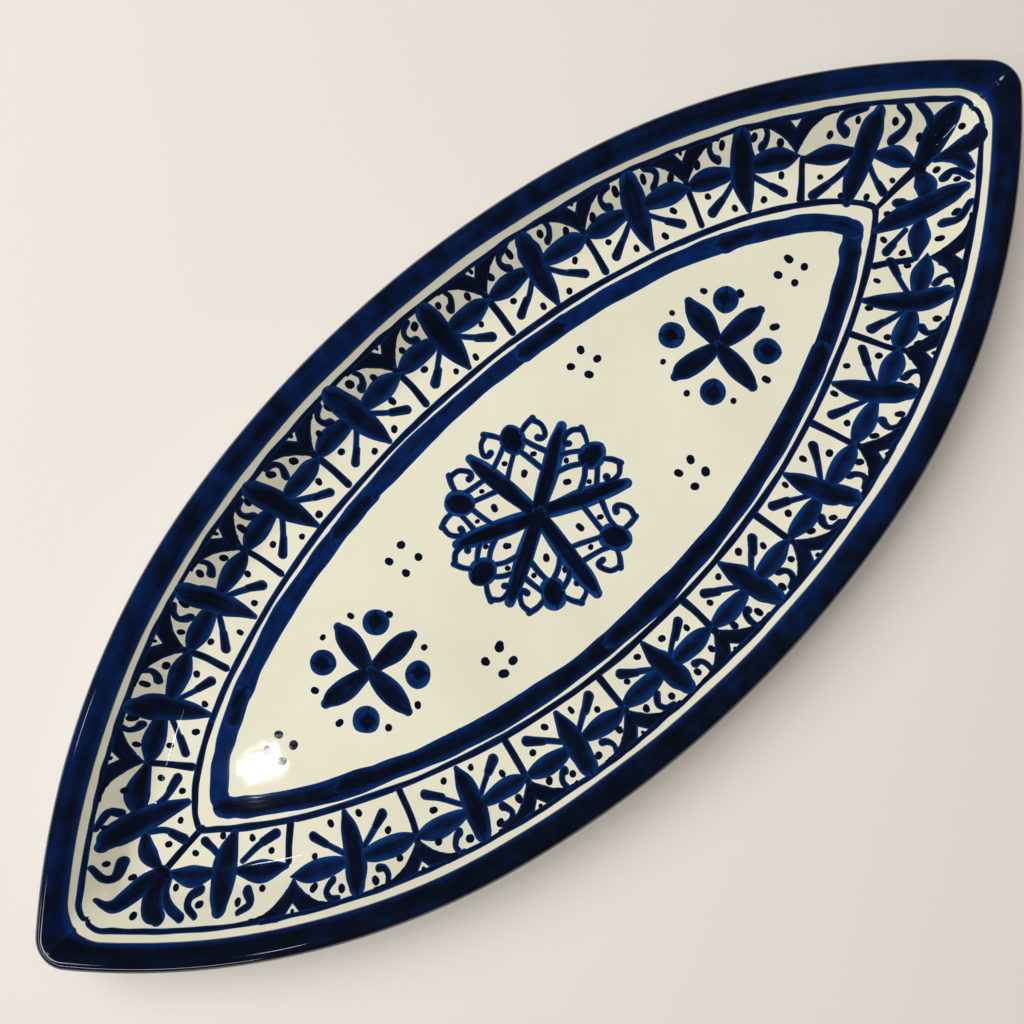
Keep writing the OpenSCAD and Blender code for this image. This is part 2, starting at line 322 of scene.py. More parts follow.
# %% A strip from a section
near_tip = 1.9
rounds = np.concatenate([
    np.linspace(0, 1, 30)[:-1], np.linspace(1, near_tip, 48)[:-1], np.linspace(near_tip, 2, 20)[:-1],
    np.linspace(2, 3, 18),
])
rounds = np.concatenate([-rounds[:0:-1], rounds])


def pull_length(place, side):
    """How far the brush has gone round the rim, for its streaks. The fan at a tip adds little."""
    gone = min(abs(place), 2) * 70 + max(abs(place) - 2, 0) * 6
    return math.copysign(gone, place) + 500 * side


def strip(name, section, ring=True):
    """section(place, side) gives the rows at a place; ring joins the last row to the first."""
    points, faces, sides, turns, across = [], [], [], [], []
    for side in (1, -1):
        first = len(points)
        for place in rounds:
            rows = section(place, side)
            points += [(place, x, z) for x, z in rows]
            sides += [side] * len(rows)
            turns += [pull_length(place, side)] * len(rows)
            across += list(np.linspace(0, 1, len(rows)))
        count = len(rows)
        for i in range(len(rounds) - 1):
            for j in range(count if ring else count - 1):
                k = (j + 1) % count
                if min(rows[j][0], rows[k][0]) > half_width - 0.01 * mm:
                    continue
                a, b = first + i * count, first + (i + 1) * count
                face = (a + j, a + k, b + k, b + j)
                faces.append(face if side > 0 else face[::-1])
    mesh = bpy.data.meshes.new(name)
    mesh.from_pydata(points, [], faces)
    for label, values in (("side", sides), ("along", turns), ("across", across)):
        mesh.attributes.new(label, "FLOAT", "POINT").data.foreach_set("value", values)
    return mesh


def closed_piece(name, section, material, ring=True, valley=10 * mm, unevenness=0.25 * mm):
    mesh = strip(name, section if callable(section) else lambda place, side: section, ring)
    piece = run_tree(name, mesh, bend_plate, Valley=valley, Unevenness=unevenness, Material=material)
    outwards(piece)
    return piece


def outwards(piece):
    """Turns all faces of a closed mesh outwards."""
    shape = bmesh.new()
    shape.from_mesh(piece.data)
    bmesh.ops.recalc_face_normals(shape, faces=shape.faces)
    shape.to_mesh(piece.data)
    shape.free()


# %% [markdown]
# ## Glaze
# Tin glaze is a clouded glass: warm white, not quite even, a little greyer where it runs thin, and it
# carries a few iron specks. It is shiny, but the surface has a soft swell that bends reflections. The colour
# comes from slow noise. The specks are the middles of cells, kept only where a second noise is high.


# %% Helpers for materials
def new_material(name):
    material = bpy.data.materials.new(name)
    material.use_nodes = True
    tree = material.node_tree
    return material, tree, tree.nodes["Principled BSDF"]


def noise(tree, at, scale, detail=3.0, roughness=0.5):
    node = add(tree, "ShaderNodeTexNoise", Vector=at, Scale=scale, Detail=detail, Roughness=roughness)
    return Num(tree, node.outputs[0])


def blend_colours(tree, share, *stops):
    """A colour ramp: stops are (place, (red, green, blue))."""
    ramp = tree.nodes.new("ShaderNodeValToRGB")
    put(tree, ramp.inputs[0], share)
    points = ramp.color_ramp.elements
    while len(points) < len(stops):
        points.new(0.5)
    for point, (place, colour) in zip(points, stops):
        point.position = place
        point.color = (*colour, 1)
    return ramp.outputs[0]


def mix(tree, share, a, b):
    node = tree.nodes.new("ShaderNodeMix")
    node.data_type = "RGBA"
    for slot, value in ((0, share), (6, a), (7, b)):
        put(tree, node.inputs[slot], value)
    return node.outputs[2]


def swell(tree, shader, depth, *heights):
    """Adds up bump heights in metres and plugs them into the shader."""
    total = heights[0]
    for more in heights[1:]:
        total = total + more
    bump = add(tree, "ShaderNodeBump", Height=total, Distance=depth, Strength=1.0)
    put(tree, shader.inputs["Normal"], bump.outputs[0])


# %% The white glaze
def glaze_material():
    material, tree, shader = new_material("white_glaze")
    at = add(tree, "ShaderNodeTexCoord").outputs["Object"]
    cloud = blend_colours(
        tree, noise(tree, at, 28.0, 4.0),
        (0.3, (0.78, 0.765, 0.615)), (0.5, (0.82, 0.81, 0.655)), (0.72, (0.85, 0.84, 0.69)),
    )
    cells = add(tree, "ShaderNodeTexVoronoi", Vector=at, Scale=70.0)
    rare = noise(tree, at, 60.0, 0.0).op("GREATER_THAN", 0.66)
    speck = (Num(tree, cells.outputs["Distance"]).op("LESS_THAN", 0.022)) * rare
    colour = mix(tree, speck, cloud, (0.16, 0.12, 0.06, 1))
    put(tree, shader.inputs["Base Color"], colour)
    put(tree, shader.inputs["Roughness"], noise(tree, at, 120.0) * 0.03 + 0.02)
    shader.inputs["IOR"].default_value = 1.5
    shader.inputs["Coat Weight"].default_value = 0.4
    shader.inputs["Coat Roughness"].default_value = 0.02
    slow = noise(tree, at, 55.0, 1.0) * (0.10 * mm)
    fine = noise(tree, at, 420.0, 2.0) * (0.006 * mm)
    swell(tree, shader, 1.0, slow, fine)
    return material


white_glaze = glaze_material()

# %% [markdown]
# ## Bare clay
# Only the foot ring shows the clay: it is wiped clean of glaze so that the plate doesn't stick to the kiln
# shelf. Fired earthenware is matt and sandy, warm buff to brown, with fine dark grog.


# %% The clay
def clay_material():
    material, tree, shader = new_material("bare_clay")
    at = add(tree, "ShaderNodeTexCoord").outputs["Object"]
    grain = noise(tree, at, 900.0, 4.0, 0.7)
    patch = noise(tree, at, 45.0, 3.0)
    colour = blend_colours(
        tree, grain * 0.6 + patch * 0.4,
        (0.32, (0.22, 0.11, 0.055)), (0.5, (0.46, 0.27, 0.15)), (0.68, (0.60, 0.40, 0.25)),
    )
    put(tree, shader.inputs["Base Color"], colour)
    put(tree, shader.inputs["Roughness"], grain * 0.2 + 0.75)
    swell(tree, shader, 1.0, grain * (0.12 * mm), patch * (0.3 * mm))
    return material


bare_clay = clay_material()

# %% [markdown]
# ## Body, foot and glaze coats
# The clay body is one closed core. The foot ring is a separate thrown ring that was luted on, and its lower
# edges are rubbed round. The glaze is three coats: inside with the lip, outside down to the foot, and the
# puddle inside the ring. Each coat is a closed skin on the body.

# %% The body and its coats
on_clay = paint + glaze
no_valley = 0.001 * mm
core_rows = inside(on_clay)[::-1] + outside(on_clay)[1:-1]
core_rows += under_floor(foot_high, foot_inset + tuck)
clay_core = closed_piece("clay_core", core_rows, bare_clay, ring=False)

inside_rows = inside(paint) + inside(on_clay)[::-1]
glaze_dish = closed_piece("glaze_dish", inside_rows, white_glaze)
outside_rows = outside(paint) + outside(on_clay)[::-1]
glaze_back = closed_piece("glaze_back", outside_rows, white_glaze)
ring_in = foot_inset + foot_wide
base_rows = under_floor(foot_h + paint, ring_in) + under_floor(foot_high, ring_in)[::-1]
glaze_base = closed_piece("glaze_base", base_rows, white_glaze, valley=no_valley)


def foot_section():
    round_r = 1.4 * mm
    rows = arc(foot_inset + round_r, round_r, round_r, math.pi, 1.5 * math.pi, 8)
    rows += arc(ring_in - round_r, round_r, round_r, 1.5 * math.pi, 2 * math.pi, 8)
    return rows + straight(rows[-1], (ring_in, foot_high), 2) + [(ring_in, foot_high), (foot_inset, foot_high)]


foot = closed_piece("foot_of_clay", foot_section(), bare_clay, valley=no_valley, unevenness=0.0)

# %% [markdown]
# ## Cobalt
# Cobalt is brushed on as a thin wash. Where the brush is full or passes twice the blue goes almost black,
# and at the edge of a stroke, where the wash thins out under the glaze, it is a clear mid blue. So each
# stroke carries four numbers on its points: how far across and along it lies, how much ink it holds and how
# wide its light edge is. The material reads them and adds hair streaks that run with the brush.


# %% The cobalt
def cobalt_material(name, streak, edge_blue, body_blue, full_blue, ripple=0.004 * mm):
    material, tree, shader = new_material(name)

    def number(label):
        node = tree.nodes.new("ShaderNodeAttribute")
        node.attribute_name = label
        return Num(tree, node.outputs["Fac"])

    across, along, ink, rim = [number(label) for label in ("across", "along", "ink", "rim")]
    hairs_at = vector(tree, along * 0.035, across * streak, ink * 9)
    hairs = noise(tree, hairs_at, 1.0, 3.0, 0.6)
    pools_at = vector(tree, along * 0.16, across * 0.9, ink * 31)
    pools = noise(tree, pools_at, 1.0, 2.0)
    wet = ((across.op("ABSOLUTE") * -1 + 1) / (rim + 0.02)).clamp(0, 1)
    share = wet * 0.5 + ink * 0.42 + (hairs - 0.5) * 0.34 + (pools - 0.5) * 0.6 - 0.03
    colour = blend_colours(
        tree, share,
        (0.18, edge_blue), (0.5, body_blue), (0.78, full_blue), (0.98, tuple(c * 0.35 for c in full_blue)),
    )
    put(tree, shader.inputs["Base Color"], colour)
    put(tree, shader.inputs["Roughness"], hairs * 0.05 + 0.02)
    shader.inputs["IOR"].default_value = 1.5
    shader.inputs["Coat Weight"].default_value = 0.35
    shader.inputs["Coat Roughness"].default_value = 0.02
    at = add(tree, "ShaderNodeTexCoord").outputs["Object"]
    swell(tree, shader, 1.0, noise(tree, at, 55.0, 1.0) * (0.10 * mm), hairs * ripple)
    return material


cobalt_painting = cobalt_material(
    "cobalt_painting", 5.0, (0.003, 0.050, 0.200), (0.0012, 0.017, 0.095), (0.0012, 0.0045, 0.020)
)
cobalt_band = cobalt_material(
    "cobalt_band", 3.0, (0.002, 0.032, 0.165), (0.0008, 0.0165, 0.105), (0.0012, 0.0045, 0.018), 0.006 * mm
)

# %% [markdown]
# ## The rim band
# The painter turned the plate and laid a broad band over the lip in long pulls. It starts on the outside,
# goes over the crest and ends on the wall in an edge that wanders by half a millimetre. It can't be
# draped from above, because it goes round the lip, so it is a strip bent by the same tree as the glaze.


# %% The rim band
# In mm: the band's edges on the wall and outside, and how much further in it runs at a corner of the outline.
rim_inner, rim_outer = 8.6, 3.1
corner_from, corner_more = 1.93, 3.0
# Depths under the plate's outermost surface: the band's upper side, its edges and its under side.
rim_top, rim_edge, rim_under = 0.04 * mm, 0.19 * mm, 0.26 * mm


def wander(place, size, seed):
    """A slow wave in mm with no repeat, for edges drawn by hand."""
    waves = math.sin(place * 2.1 + seed) + 0.6 * math.sin(place * 5.3 + 2 * seed)
    return size * (waves + 0.4 * math.sin(place * 13.7 + seed)) / 2


def rim_section(place, side):
    """The band's rows: its upper side, its two edges down in the glaze, and its under side deeper still."""
    tip = max(0, abs(place) - corner_from) / 0.07
    inner = (rim_inner + corner_more * min(1, tip) ** 2 + wander(place, 0.35, 3 + side)) * mm
    outer = (rim_outer + wander(place, 0.5, 7 * side)) * mm

    def rows(depth):
        in_x, in_z = depth * math.cos(lean), depth * math.sin(lean)
        lip = arc(lip_r, lip_z, lip_r - depth, math.pi + lean, lean, 22)
        start = (outer + in_x, outer_z - (outer - outer_x) * math.tan(slope) + in_z)
        stop = (inner - in_x, wall_z - (inner - wall_x) * math.tan(slope) - in_z)
        return [start] + straight(start, lip[0], 3) + lip + straight(lip[-1], stop, 9) + [stop]

    top, edge = rows(rim_top), rows(rim_edge)
    top[0], top[-1] = edge[0], edge[-1]
    return top + rows(rim_under)[1:-1][::-1]


rim = closed_piece("rim_cobalt", rim_section, cobalt_band)


# %% The rim's ink
far_ink, near_ink, rim_light_edge = 0.56, 0.8, 0.30


def set_brush(piece, width_rows):
    """Gives the rim band the numbers that its material reads; width_rows is its upper side's share."""
    data = piece.data
    count = len(data.vertices)
    place = np.zeros(count)
    row = np.zeros(count)
    data.attributes["along"].data.foreach_get("value", place)
    data.attributes["across"].data.foreach_get("value", row)
    far = place > 0
    top = np.clip(row / width_rows, 0, 1) * 2 - 1
    top = np.where(row > width_rows, 0.5, top)
    pull = 0.5 + 0.5 * np.sin(place * 0.021 + 1.3)
    ink = np.where(far, far_ink, near_ink) + 0.2 * (pull - 0.5)
    for label, values in (("across", top), ("ink", ink), ("rim", np.full(count, rim_light_edge))):
        layer = data.attributes.get(label) or data.attributes.new(label, "FLOAT", "POINT")
        layer.data.foreach_set("value", values.astype(np.float32))


rim_rows = len(rim_section(0, 1))
set_brush(rim, (rim_rows / 2 + 1) / rim_rows)
print("the rim band has", rim_rows, "rows")

# %% [markdown]
# ## A brush stroke
# Every other mark is a brush stroke: a path of a few points and the half width of the brush at each. The
# stroke is drawn flat, as a thin scale, level on top, whose closed edges dip under the glaze. Its ends are
# round where the brush was set down and pointed where it was lifted. A small seeded shake makes no two
# alike. Each stroke lies a few thousandths of a millimetre over the one before, so that strokes that cross
# don't share a face.

# %% Strokes
hand = np.random.default_rng(11)
spread = 1.12
# How far a mark stands proud of the glaze, and how far its edge and its root dip under it, in mm.
thin, thick = 0.035, 0.11
edge_dip, root_dip = 0.004, 0.06
coat_step, coats = 0.005, 14


def smooth_path(points, step=0.7):
    """A curve through the points, with a place every step mm; extra columns are carried along."""
    p = np.array(points, float)
    if len(p) == 2:
        p = np.array([p[0], (p[0] + p[1]) / 2, p[1]])
    ends = np.vstack([2 * p[0] - p[1], p, 2 * p[-1] - p[-2]])
    out = []
    for i in range(1, len(ends) - 2):
        a, b, c, d = ends[i - 1:i + 3]
        count = max(3, int(np.linalg.norm((c - b)[:2]) / step))
        for t in np.arange(count) / count:
            slow = 2 * b + (c - a) * t + (2 * a - 5 * b + 4 * c - d) * t**2
            out.append(0.5 * (slow + (3 * b - a - 3 * c + d) * t**3))
    out.append(p[-1])
    return np.array(out)


class Brush:
    """Collects strokes, drawn in millimetres, into one flat mesh."""

    def __init__(self, place=None, shake=0.22):
        self.place = place or (lambda xy: xy)
        self.shake = shake
        self.points, self.faces, self.numbers = [], [], []
        self.order = 0

    def patch(self, left, right, ink, rim, proud=thin, lengths=None, soft_ends=True):
        """A scale between two edges with as many places along as the edges have points."""
        self.order += 1
        count = len(left)
        width = np.linalg.norm(right - left, axis=1).max()
        cells = int(np.clip(width / 0.8, 6, 14))
        t = np.sin(np.linspace(-math.pi / 2, math.pi / 2, cells + 1))
        first = len(self.points)
        half = max(width / 2, 0.1)
        if lengths is None:
            middle = (left + right) / 2
            lengths = np.concatenate([[0], np.cumsum(np.linalg.norm(np.diff(middle, axis=0), axis=1))])
        offset = hand.uniform(0, 400)
        lift = coat_step * (self.order % coats)
        from_end = np.minimum(lengths - lengths[0], lengths[-1] - lengths)
        at_end = np.clip(1 - from_end / half, 0, 1) if soft_ends else np.zeros(count)
        grid = left[:, None] * (0.5 - t / 2)[None, :, None] + right[:, None] * (0.5 + t / 2)[None, :, None]
        grid = self.place(grid.reshape(-1, 2)).reshape(count, cells + 1, 2)
        fade = np.clip(np.minimum(np.arange(count), np.arange(count)[::-1]), 0, 1)
        tops = (proud + lift) * (1 - t**6)[None, :] * fade[:, None] - edge_dip
        for i in range(count):
            for j in range(cells + 1):
                self.points.append((*grid[i, j], tops[i, j]))
                side = math.copysign(min(1, math.hypot(t[j], at_end[i])), t[j])
                self.numbers.append((side, lengths[i] + offset, ink, rim))
        for i in range(count):
            for j in range(1, cells):
                under = -edge_dip if i in (0, count - 1) else -root_dip
                self.points.append((*grid[i, j], under))
                self.numbers.append((t[j], lengths[i] + offset, ink, rim))
        second = first + count * (cells + 1)

        def top(i, j):
            return first + i * (cells + 1) + j

        def base(i, j):
            return top(i, j) if j in (0, cells) or i in (0, count - 1) else second + i * (cells - 1) + j - 1

        for i in range(count - 1):
            for j in range(cells):
                self.faces.append((top(i, j), top(i, j + 1), top(i + 1, j + 1), top(i + 1, j)))
                self.faces.append((base(i, j), base(i + 1, j), base(i + 1, j + 1), base(i, j + 1)))

    def stroke(self, *points, ink=0.6, rim=0.5, proud=thin, ends=(True, True)):
        """points are (x, y, half width); ends says which ends are round."""
        p = np.array(points, float)
        p[:, :2] += hand.normal(0, self.shake, (len(p), 2)) * 0.6
        p[:, 2] *= spread * (1 + hand.normal(0, 0.05, len(p)))
        p = smooth_path(p)
        middle, half = p[:, :2], np.maximum(p[:, 2], 0.06)
        lengths = np.concatenate([[0], np.cumsum(np.linalg.norm(np.diff(middle, axis=0), axis=1))])
        heading = np.gradient(middle, axis=0)
        heading /= np.linalg.norm(heading, axis=1)[:, None] + 1e-9
        caps = 6
        for end in (0, -1):
            if not ends[end]:
                continue
            out = -heading[end] if end == 0 else heading[end]
            turns = np.linspace(0, math.pi / 2, caps + 1)[1:]
            extra = middle[end] + np.outer(np.sin(turns) * half[end], out)
            widths = np.maximum(half[end] * np.cos(turns), 0.03)
            grown = lengths[end] + (-1 if end == 0 else 1) * np.sin(turns) * half[end]
            along = np.repeat(heading[end][None], caps, 0)
            if end == 0:
                middle, half = np.vstack([extra[::-1], middle]), np.concatenate([widths[::-1], half])
                heading, lengths = np.vstack([along, heading]), np.concatenate([grown[::-1], lengths])
            else:
                middle, half = np.vstack([middle, extra]), np.concatenate([half, widths])
                heading, lengths = np.vstack([heading, along]), np.concatenate([lengths, grown])
        normal = np.stack([-heading[:, 1], heading[:, 0]], 1) * half[:, None]
        left, right = [1 + self.wobble(lengths, half.max()) for _ in range(2)]
        self.patch(middle + normal * left, middle - normal * right, ink, rim, proud, lengths)

    def wobble(self, lengths, half, every=4.0):
        """How much the brush's edge comes and goes along a stroke, as a share of its width."""
        knots = np.arange(lengths[0] - every, lengths[-1] + 2 * every, every)
        return np.interp(lengths, knots, hand.normal(0, 0.045 / max(1, half), len(knots)))[:, None]

    def leaf(self, start, end, half, belly=0.45, bow=0.0, **more):
        """A leaf: widest at belly, pointed at both ends, bowed sideways by bow mm."""
        a, b = np.array(start, float), np.array(end, float)
        side = np.array([a[1] - b[1], b[0] - a[0]]) / np.linalg.norm(b - a)
        shape = ((0, 0.12), (belly * 0.45, 0.74), (belly, 1), (belly + (1 - belly) * 0.5, 0.78), (1, 0.10))
        path = [(*(a + (b - a) * t + side * bow * math.sin(math.pi * t)), half * w) for t, w in shape]
        self.stroke(*path, **more)

    def blob(self, x, y, long, wide, ink=0.8, rim=0.5, proud=thin):
        """A round spot, worked over with the belly of the brush; long lies along x."""
        turns = np.linspace(0, math.pi, 19)
        off = 1 + 0.05 * np.interp(turns, np.linspace(0, math.pi, 5), hand.normal(0, 1, 5))
        edge = np.stack([-np.cos(turns) * long * off, np.maximum(np.sin(turns) * wide * off, 0.03)], 1)
        self.patch(edge + (x, y), edge * (1, -1) + (x, y), ink, rim, proud)

    def dot(self, x, y, size=1.0, ink=0.95, rim=0.2):
        turn = hand.uniform(0, math.pi)
        out = np.array([math.cos(turn), math.sin(turn)]) * size * hand.uniform(0.05, 0.3)
        ends = (x - out[0], y - out[1], size * 0.92), (x + out[0], y + out[1], size * 0.9)
        self.stroke(*ends, ink=ink, rim=rim)

    def mesh(self, name):
        mesh = bpy.data.meshes.new(name)
        mesh.from_pydata([(x * mm, y * mm, z * mm) for x, y, z in self.points], [], self.faces)
        for label, values in zip(("across", "along", "ink", "rim"), zip(*self.numbers)):
            mesh.attributes.new(label, "FLOAT", "POINT").data.foreach_set("value", values)
        return mesh


# %% [markdown]
# ## Draping the strokes
# A flat mark has to lie on the glaze: on the floor, in the hollow bend or up the wall. The tree drops each
# of its points on to the glaze from above and then lifts it along the glaze's own normal by the thickness
# it was drawn with. So a mark follows the sag and the filled valley with no sums of its own. On the real
# plate the glaze flows over the painting and its gloss is unbroken. So each mark also keeps the glaze's
# normal, and its upper side is shaded with it.


# %% The draping tree
def draping_tree():
    tree, start = new_tree("drape_on_glaze", Glaze="Object")
    x, y, proud = parts(tree, add(tree, "GeometryNodeInputPosition").outputs[0])
    ground = add(tree, "GeometryNodeObjectInfo", Object=start.outputs["Glaze"])
    cast = tree.nodes.new("GeometryNodeRaycast")
    cast.data_type = "FLOAT_VECTOR"
    put(tree, cast.inputs["Target Geometry"], ground.outputs["Geometry"])
    put(tree, cast.inputs["Attribute"], tree.nodes.new("GeometryNodeInputNormal").outputs[0])
    put(tree, cast.inputs["Source Position"], vector(tree, x, y, 0.1))
    cast.inputs["Ray Direction"].default_value = (0, 0, -1)
    cast.inputs["Ray Length"].default_value = 0.2
    lift = tree.nodes.new("ShaderNodeVectorMath")
    lift.operation = "SCALE"
    put(tree, lift.inputs[0], cast.outputs["Hit Normal"])
    put(tree, lift.inputs["Scale"], proud)
    placed = tree.nodes.new("ShaderNodeVectorMath")
    put(tree, placed.inputs[0], cast.outputs["Hit Position"])
    put(tree, placed.inputs[1], lift.outputs[0])
    moved = add(tree, "GeometryNodeSetPosition", Geometry=start.outputs[0], Position=placed.outputs[0])
    lay = tree.nodes.new("GeometryNodeStoreNamedAttribute")
    lay.data_type = "FLOAT_VECTOR"
    put(tree, lay.inputs["Geometry"], moved.outputs[0])
    lay.inputs["Name"].default_value = "lay"
    put(tree, lay.inputs["Value"], cast.outputs["Attribute"])
    end_tree(tree, start, lay.outputs[0])
    return tree


def lie_under_gloss(piece):
    """Gives the upper side of a mark the glaze's own shading, so that reflections run over it unbroken."""
    data = piece.data
    lay = np.zeros(3 * len(data.vertices), np.float32)
    data.attributes["lay"].data.foreach_get("vector", lay)
    corners = np.zeros(len(data.loops), np.int32)
    data.loops.foreach_get("vertex_index", corners)
    sizes = np.zeros(len(data.polygons), np.int32)
    data.polygons.foreach_get("loop_total", sizes)
    faces = np.zeros(3 * len(data.polygons), np.float32)
    data.polygon_normals.foreach_get("vector", faces)
    lay = lay.reshape(-1, 3)[corners]
    faces = np.repeat(faces.reshape(-1, 3), sizes, axis=0)
    upper = (lay * faces).sum(axis=1) > 0.3
    data.normals_split_custom_set(np.where(upper[:, None], lay, faces).tolist())
    data.attributes.remove(data.attributes["lay"])


drape = draping_tree()
pieces = []


def paint_piece(name, brush, slot, *nodes, material=None):
    material = material or cobalt_painting
    piece = run_tree(name, brush.mesh(name), drape, Glaze=glaze_dish, Material=material)
    outwards(piece)
    lie_under_gloss(piece)
    pieces.append((piece, slot, nodes))
    return piece


# %% [markdown]
# ## Places on the border
# The border is easiest to draw straight, as the painter sees it with the plate turning under the hand: so
# far along the outline, so far in. This function puts such a place back on the plate.


# %% From border to plate
def on_border(side):
    def place(points):
        s, inset = points[:, 0] * mm, points[:, 1] * mm
        sign = np.where(s < 0, -1, 1)
        far = np.abs(s)
        past = far > side_s
        turn = np.where(past, join_angle + (far - side_s) / shoulder_r, far / side_r)
        radius = np.where(past, shoulder_r, side_r) - inset
        x = sign * (np.where(past, shoulder_cx, 0) + radius * np.sin(turn))
        y = np.where(past, shoulder_cy, side_cy) + radius * np.cos(turn)
        return np.stack([x, side * y], 1) / mm

    return place


def axis_place(inset):
    """How far along the outline the long axis is met at this inset, in mm."""
    turn = math.acos(-shoulder_cy / (shoulder_r - inset * mm))
    return (side_s + shoulder_r * (turn - join_angle)) / mm


print("the border meets the axis at", round(axis_place(12), 1), "mm")

# %% [markdown]
# ## Lines and the field band
# A thin line on the wall opens the border, a second one on the floor closes it, and inside that lies the
# broad band round the field. All are long pulls that overlap where the brush was refilled. On the far side
# the band is a wetter, lighter blue with dark starts, and on the near side it is nearly black.

# %% The line on the wall
wall_line = 10.9
wall_line_half = 0.66
turns_from = 0.965
outer = {side: Brush(on_border(side), shake=0.1) for side in (1, -1)}
for side, brush in outer.items():
    stops = np.linspace(-1, 1, 8)
    for a, b in zip(stops[:-1], stops[1:]):
        path = []
        for t in np.linspace(a - 0.012, b + 0.012, 15):
            t = max(-1, min(1, t))
            turning = max(0, abs(t) - turns_from) / 0.035
            inset = wall_line + corner_more * turning**2 + wander(t * 6, 0.2 * (1 - turning), 5 * side)
            s = t * axis_place(inset)
            path.append((s, inset, wall_line_half + wander(t * 9, 0.1, side)))
        brush.stroke(*path, ink=hand.uniform(0.45, 0.8), rim=0.6, ends=(a > -1, b < 1))
both = Brush()
for brush in outer.values():
    base = len(both.points)
    both.points += brush.points
    both.numbers += brush.numbers
    both.faces += [tuple(i + base for i in face) for face in brush.faces]
paint_piece("line_on_wall", both, "cobalt_painting", "outer_line")

# %% The line round the field
line_low, line_high = [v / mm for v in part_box("inner_line")]
band_low, band_high = [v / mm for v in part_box("field_band")]


def bow(half, rise, share, full):
    """A place on the curve round the field, for share from -1 to 1. Less than 1 for full is blunter."""
    turn = share * math.pi / 2
    return half * math.sin(turn), middle_y + rise * math.cos(turn) ** (2 * full)


middle_y = (line_low.y + line_high.y) / 2
inner = Brush(shake=0.1)
half_line = 1.0
fullness = {1: 0.67, -1: 0.87}
for side in (1, -1):
    rise = side * ((line_high.y - line_low.y) / 2 - half_line)
    stops = np.linspace(-1, 1, 6)
    for n, (a, b) in enumerate(zip(stops[:-1], stops[1:])):
        path = []
        for t in np.linspace(max(-1, a - 0.02), min(1, b + 0.02), 9):
            x, y = bow(line_high.x - 1.2, rise, t, fullness[side])
            path.append((x, y + wander(t * 7, 0.2, rise), half_line + wander(t * 11, 0.14, n)))
        inner.stroke(*path, ink=hand.uniform(0.5, 0.85), rim=0.5)
paint_piece("line_round_field", inner, "cobalt_painting", "inner_line")

# %% The band round the field
band = Brush(shake=0.12)
field_reach = band_high.x - 4.4
half_bands = {1: 2.8, -1: 3.05}
for side, pulls in ((1, 5), (-1, 4)):
    half_band = half_bands[side]
    rise = side * ((band_high.y - band_low.y) / 2 - half_band)
    stops = np.linspace(-1, 1, pulls + 1)
    for n, (a, b) in enumerate(zip(stops[:-1], stops[1:])):
        path = []
        for t in np.linspace(max(-1, a - 0.05), min(1, b + 0.03), 13):
            x, y = bow(field_reach, rise, t, fullness[side])
            path.append((x, y + wander(t * 6, 0.2, n), half_band + wander(t * 8, 0.15, n + side)))
        ink = hand.uniform(0.28, 0.42) if side > 0 else hand.uniform(0.75, 0.95)
        band.stroke(*path, ink=ink, rim=0.6 if side < 0 else 0.3)
        if side > 0:
            start = [(x, y, w * 0.96) for x, y, w in path[:3]]
            band.stroke(*start, ink=0.9, rim=0.6, proud=0.06, ends=(True, False))
paint_piece("band_round_field", band, "cobalt_band", "field_band", material=cobalt_band)

# %% [markdown]
# ## The border panels
# One panel is a leaf across the border, a lens to the knot on either side, an arch over each lens filled
# dark up to the line, a comma and dots under the arch, and a club stroke, more dots and a divider below.
# The painter repeats it twenty times by eye. The steps differ a little, and so do the strokes.

# %% Where the leaves and knots are
knot_in = 20.5
far_leaves = [-183.6 + 40.1 * k for k in range(10)]
near_leaves = [-170 + 39 * k + 5 * min(k, 2) - 4.5 * max(0, k - 7) for k in range(10)]


def line_inset(s, side):
    """The inset of the line round the field, straight in from a place on the border."""
    rise = (line_high.y - line_low.y) / 2
    for inset in np.arange(24, 46, 0.1):
        x, y = on_border(side)(np.array([[s, inset]]))[0]
        share = 1 - (x / line_high.x) ** 2
        if side * y < 0 or (share > 0 and side * (y - middle_y) < rise * share ** fullness[side]):
            return inset
    return 40.0


# %% One side of a panel
arch_top, arch_rise, arch_run = 12.0, 8.2, 12


def arch(x):
    """Inset of the arch's edge, x mm from its knot."""
    return arch_top + arch_rise * max(0, 1 - x / arch_run) ** 2


def notch(x):
    """Inset of the white chevron's edge, x mm from the knot."""
    return wall_line + max(0, 2.7 - 1.15 * x)


def draw_arch(brush, knot, way, reach, scale):
    """The dark filling between arch and line, on one side of a knot, with half of the white chevron."""
    xs = np.concatenate([[-0.15], np.linspace(0.15, 3, 9), np.linspace(3.5, reach, 14)])
    low = np.array([(knot + way * x * scale, arch(max(0, x))) for x in xs])
    high = np.array([(knot + way * x * scale, notch(abs(x))) for x in xs])
    high[:, 1] += 0.5 * np.exp(-(((xs - reach * 0.7) / 1.2) ** 2)) * hand.uniform(0.2, 1.1)
    low[:, 1] += hand.normal(0, 0.08, len(xs))
    brush.patch(low, high, hand.uniform(0.75, 0.92), 0.4, 0.03, soft_ends=False)


